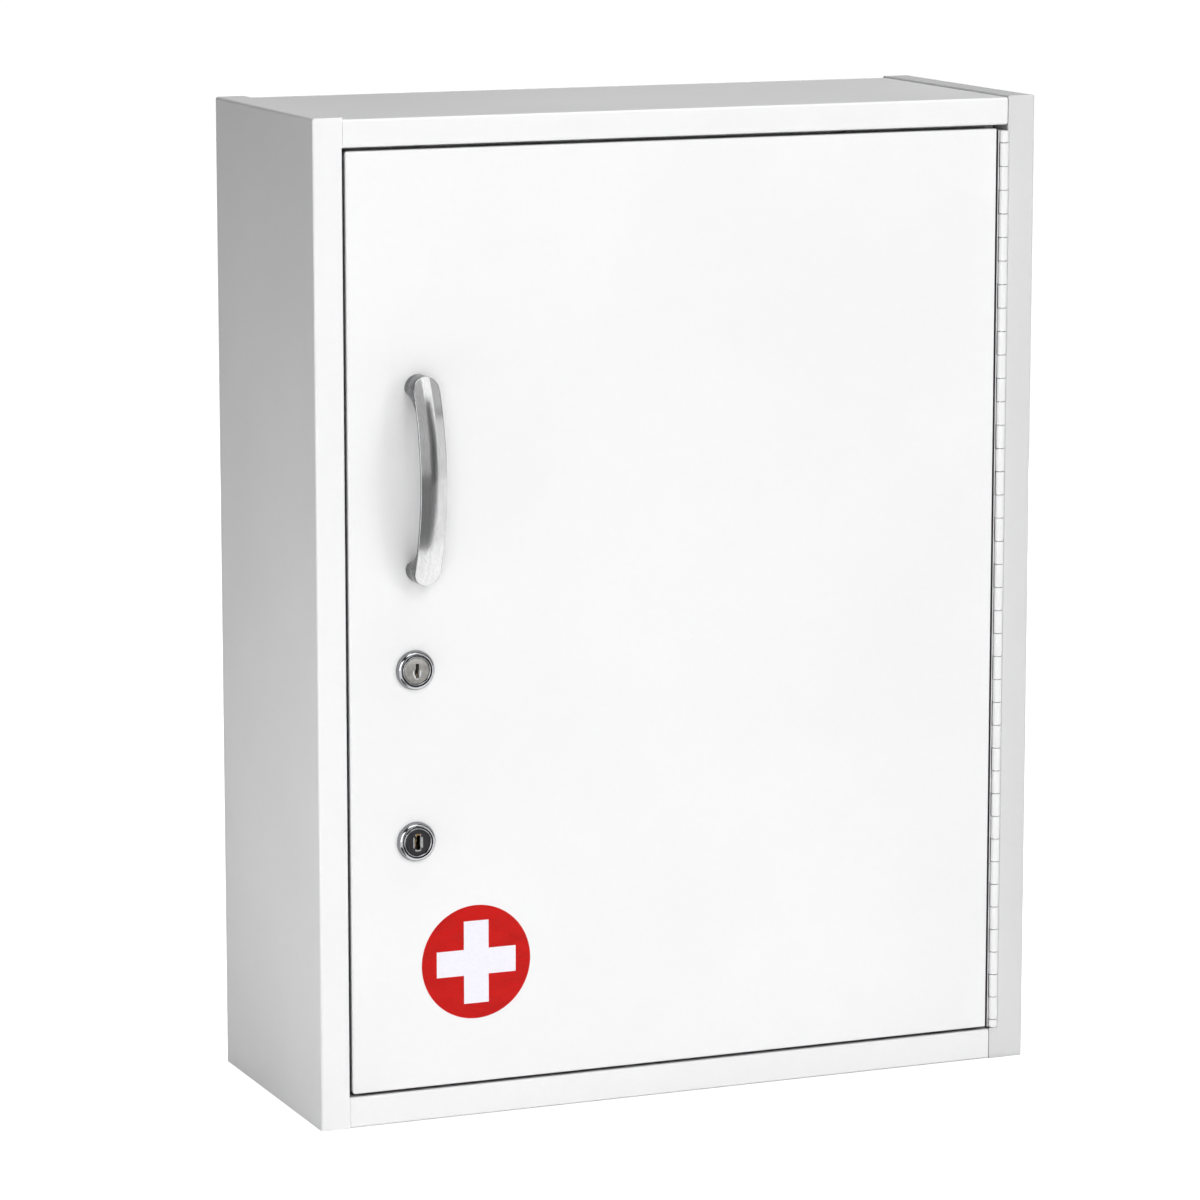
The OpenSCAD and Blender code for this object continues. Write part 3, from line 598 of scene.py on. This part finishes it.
world = bpy.data.worlds.new("studio")
scene.world = world
world.use_nodes = True
wt = world.node_tree
wt.nodes.clear()
w_out = wt.nodes.new("ShaderNodeOutputWorld")
w_bg = wt.nodes.new("ShaderNodeBackground")
w_bg.inputs["Color"].default_value = (1, 1, 1, 1)
w_bg.inputs["Strength"].default_value = 0.06

# the eye sees a pale room past the floor's edge, while the cabinet is lit by the dimmer one
w_eye = wt.nodes.new("ShaderNodeBackground")
w_eye.inputs["Color"].default_value = (1, 1, 1, 1)
w_eye.inputs["Strength"].default_value = 1.0
w_path = wt.nodes.new("ShaderNodeLightPath")
w_mix = wt.nodes.new("ShaderNodeMixShader")
wt.links.new(w_path.outputs["Is Camera Ray"], w_mix.inputs[0])
wt.links.new(w_bg.outputs[0], w_mix.inputs[1])
wt.links.new(w_eye.outputs[0], w_mix.inputs[2])
wt.links.new(w_mix.outputs[0], w_out.inputs["Surface"])

MID = Vector((0, 0, 0.26))


def way(azimuth, elevation):
    a, e = math.radians(azimuth), math.radians(elevation)
    return Vector((math.sin(a) * math.cos(e), -math.cos(a) * math.cos(e), math.sin(e)))


def softbox(name, at, look, size, power):
    o = area(name, at, look, size, power)
    o.visible_glossy = False
    return o


def glow_mat(name, strength):
    """Emission of a reflector card, a little uneven like lit cloth."""
    k = Mat(name)
    cloud = k.noise(1.3, 2.0, 0.5)
    k.b.inputs["Base Color"].default_value = (0.02, 0.02, 0.02, 1)
    k.b.inputs["Roughness"].default_value = 1.0
    k.b.inputs["Emission Color"].default_value = (1, 1, 1, 1)
    k.put(k.b.inputs["Emission Strength"], k.ramp(cloud, 0.3, 0.7, strength * 0.92, strength * 1.08))
    return k.m


def only_reflected(o):
    """A studio card that shows up in polished metal and does nothing else."""
    o.visible_camera = False
    o.visible_diffuse = False
    o.visible_shadow = False
    o.visible_transmission = False
    o.visible_volume_scatter = False
    return o


def card(name, azimuth, elevation, wide, high, strength, distance=3.0):
    """Card at that bearing from the cabinet, wide and high as angles."""
    w = distance * math.tan(math.radians(wide / 2))
    h = distance * math.tan(math.radians(high / 2))
    mesh = bpy.data.meshes.new(name)
    mesh.from_pydata([(-w, -h, 0), (w, -h, 0), (w, h, 0), (-w, h, 0)], [], [(0, 1, 2, 3)])
    o = bpy.data.objects.new(name, mesh)
    d = way(azimuth, elevation)
    o.location = MID + d * distance
    o.rotation_mode = "QUATERNION"
    o.rotation_quaternion = d.to_track_quat("Z", "Y")
    mesh.materials.append(glow_mat(name, strength))
    scene.collection.objects.link(o)
    return only_reflected(o)


def floor_card(name, corners, strength):
    mesh = bpy.data.meshes.new(name)
    mesh.from_pydata([(x, y, 0.0005) for x, y in corners], [], [tuple(range(len(corners)))])
    o = bpy.data.objects.new(name, mesh)
    mesh.materials.append(glow_mat(name, strength))
    scene.collection.objects.link(o)
    return only_reflected(o)


# lamps that light the paint
softbox("key", MID + way(32, 12) * 3.2, MID, (1.0, 1.0), 17.6)
softbox("key_high", (0.15, -1.8, 1.7), (-0.1, -0.08, 0.35), (0.7, 0.7), 8.2)
softbox("beside_camera", MID + way(-20, 12) * 1.8, MID, (1.2, 1.2), 13.0)
softbox("overhead", (0.55, 0, 2.4), (0.2, 0, 0.5), (1.4, 1.4), 29.4)
softbox("side_low", (-0.45, -0.1, 0.02), (-0.205, 0, 0.2), (0.2, 0.6), 0.61)
softbox("behind", MID + way(138, -2) * 2.3, MID, (1.3, 0.25), 13.0)
# cards that the bright metal mirrors
card("card_key", 40, 3, 34, 40, 1.10)
card("card_top", 22, 42, 20, 48, 1.7)
card("card_front", 1, 24, 24, 52, 0.65)
card("card_above", -15, 66, 36, 30, 3.0)
card("card_right", 45, 38, 22, 24, 0.70)
card("card_left", -56, 5, 44, 54, 3.2)
card("flag_bow", 17, 12, 9, 44, 0.05, 2.5)
floor_card("flag_front", [(-0.18, -0.44), (0.01, -0.44), (2.60, -6.0), (-0.66, -6.0)], 0.20)
floor_card("flag_corner", [(-0.42, -0.44), (-0.20, -0.44), (-0.20, -0.12), (-0.42, -0.12)], 0.05)
floor_card("glow_front", [(-0.13, -0.44), (0.30, -0.44), (0.30, -0.20), (-0.13, -0.20)], 1.5)

scene.view_settings.view_transform = "Standard"
scene.view_settings.look = "None"
